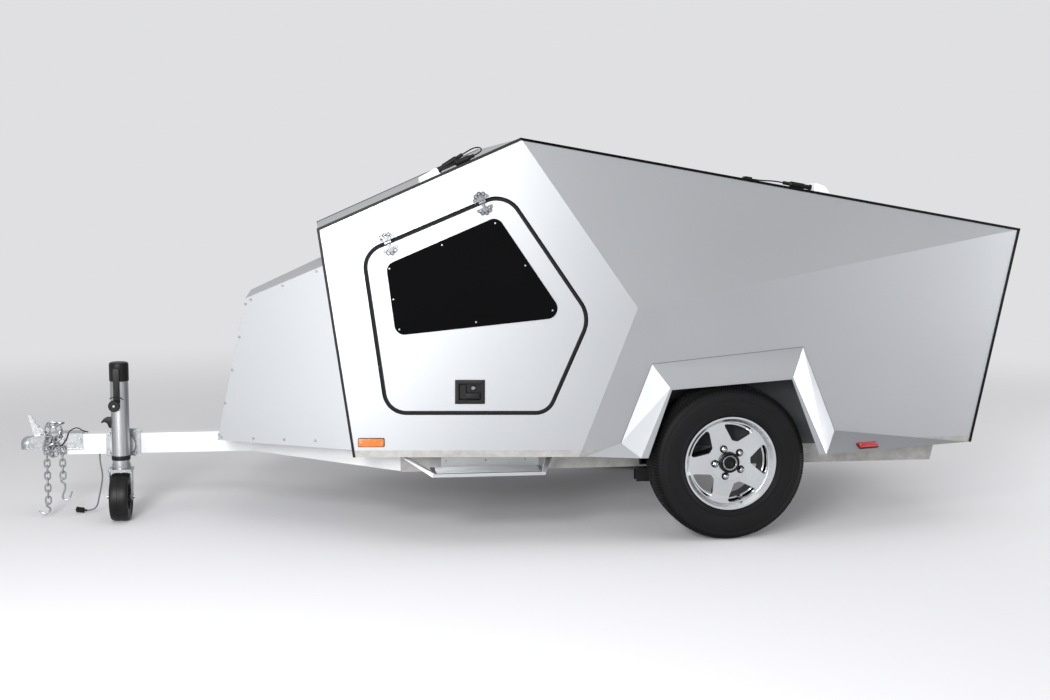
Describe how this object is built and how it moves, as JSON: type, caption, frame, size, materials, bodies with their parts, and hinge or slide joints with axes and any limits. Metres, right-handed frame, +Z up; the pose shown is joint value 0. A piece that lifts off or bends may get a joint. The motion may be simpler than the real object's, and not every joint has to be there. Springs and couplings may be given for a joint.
{
  "type": "teardrop trailer",
  "caption": "Angular faceted teardrop camping trailer with upward-opening side doors, rear hatch, flared wheel arches, A-frame tongue, nose box, jack wheel and ball coupler.",
  "frame": {"origin": "on the ground under the middle of the overall length, on the centre line", "axes": "+Z up, -X forwards to the coupler, -Y to the trailer's left side, which the picture shows"},
  "size_m": [4.5456, 1.81, 1.7491],
  "materials": {
    "white_gelcoat": "gloss",
    "inner_panel": "matte",
    "trim_black": "matte",
    "smoked_acrylic": "gloss",
    "black_plastic": "matte",
    "chrome": "polished",
    "frame_paint": "satin",
    "black_steel": "satin",
    "tyre": "matte",
    "alloy": "satin",
    "zinc": "satin",
    "nose_aluminium": "satin",
    "amber_lens": "gloss",
    "red_lens": "gloss",
    "grey_cord": "matte",
    "black_cord": "matte"
  },
  "bodies": {
    "chassis": {"a_frame": "frame_paint", "cable_boxes": "white_gelcoat", "cable_fittings": "black_plastic", "coupler": "zinc", "coupler_latch": "zinc", "crossmembers": "frame_paint", "edge_trim": "trim_black", "flares": "white_gelcoat", "floor": "frame_paint", "front_wall": "white_gelcoat", "harness_cord": "grey_cord", "harness_plug": "black_plastic", "hinge_mounts": "chrome", "jack_mount": "zinc", "marker_lamps": "amber_lens", "nose_box": "nose_aluminium", "rails": "frame_paint", "rear_frame": "white_gelcoat", "roof_cord": "black_cord", "roof_front": "white_gelcoat", "roof_rear": "white_gelcoat", "safety_chains": "zinc", "side_front_left": "white_gelcoat", "side_front_right": "white_gelcoat", "side_lower_left": "white_gelcoat", "side_lower_right": "white_gelcoat", "side_upper_left": "white_gelcoat", "side_upper_right": "white_gelcoat", "steps": "nose_aluminium", "suspension_arms": "black_steel", "suspension_mounts": "black_steel", "tail_lamps": "red_lens", "tongue": "frame_paint", "wheel_wells": "inner_panel"},
    "door_body_left": {"door_left": "white_gelcoat", "door_seal_left": "trim_black", "door_window_left": "smoked_acrylic", "door_latch_left": "black_plastic", "door_hinges_left": "chrome"},
    "wheel_left": {"tyre_left": "tyre", "rim_left": "alloy", "hub_left": "zinc"},
    "door_body_right": {"door_right": "white_gelcoat", "door_seal_right": "trim_black", "door_window_right": "smoked_acrylic", "door_latch_right": "black_plastic", "door_hinges_right": "chrome"},
    "wheel_right": {"tyre_right": "tyre", "rim_right": "alloy", "hub_right": "zinc"},
    "hatch_body": {"hatch": "white_gelcoat", "hatch_seal": "trim_black", "hatch_hinges": "chrome", "hatch_handle": "black_plastic"},
    "jack_outer": {"jack_tube": "zinc", "jack_cap": "black_plastic"},
    "jack_inner": {"jack_leg": "zinc"},
    "jack_caster": {"jack_fork": "zinc"},
    "jack_roller": {"jack_wheel": "black_plastic"}
  },
  "joints": [
    {"name": "wheel_left_spin", "type": "hinge", "parent": "chassis", "child": "wheel_left", "pos_m": [0.88587, -0.7745, 0.344], "axis": [0, 1, 0], "continuous": true},
    {"name": "wheel_right_spin", "type": "hinge", "parent": "chassis", "child": "wheel_right", "pos_m": [0.88587, 0.7745, 0.344], "axis": [0, 1, 0], "continuous": true},
    {"name": "door_left_hinge", "type": "hinge", "parent": "chassis", "child": "door_body_left", "pos_m": [-0.43409, -0.75808, 1.37816], "axis": [-0.914, 0.0829, -0.3971], "range_deg": [0, 85]},
    {"name": "door_right_hinge", "type": "hinge", "parent": "chassis", "child": "door_body_right", "pos_m": [-0.43409, 0.75808, 1.37816], "axis": [0.914, 0.0829, 0.3971], "range_deg": [0, 85]},
    {"name": "hatch_hinge", "type": "hinge", "parent": "chassis", "child": "hatch_body", "pos_m": [2.26577, 0, 1.30838], "axis": [0, -1, 0], "range_deg": [0, 85]},
    {"name": "jack_swivel", "type": "hinge", "parent": "chassis", "child": "jack_outer", "pos_m": [-1.80613, -0.08, 0.335], "axis": [0, 1, 0], "range_deg": [-90, 0]},
    {"name": "jack_extend", "type": "slide", "parent": "jack_outer", "child": "jack_inner", "axis": [0, 0, -1], "range_m": [0, 0.254]},
    {"name": "jack_caster_swivel", "type": "hinge", "parent": "jack_inner", "child": "jack_caster", "pos_m": [-1.80613, -0.127, 0.25], "axis": [0, 0, 1], "continuous": true},
    {"name": "jack_wheel_roll", "type": "hinge", "parent": "jack_caster", "child": "jack_roller", "pos_m": [-1.80613, -0.159, 0.11], "axis": [1, 0, 0], "continuous": true}
  ]
}
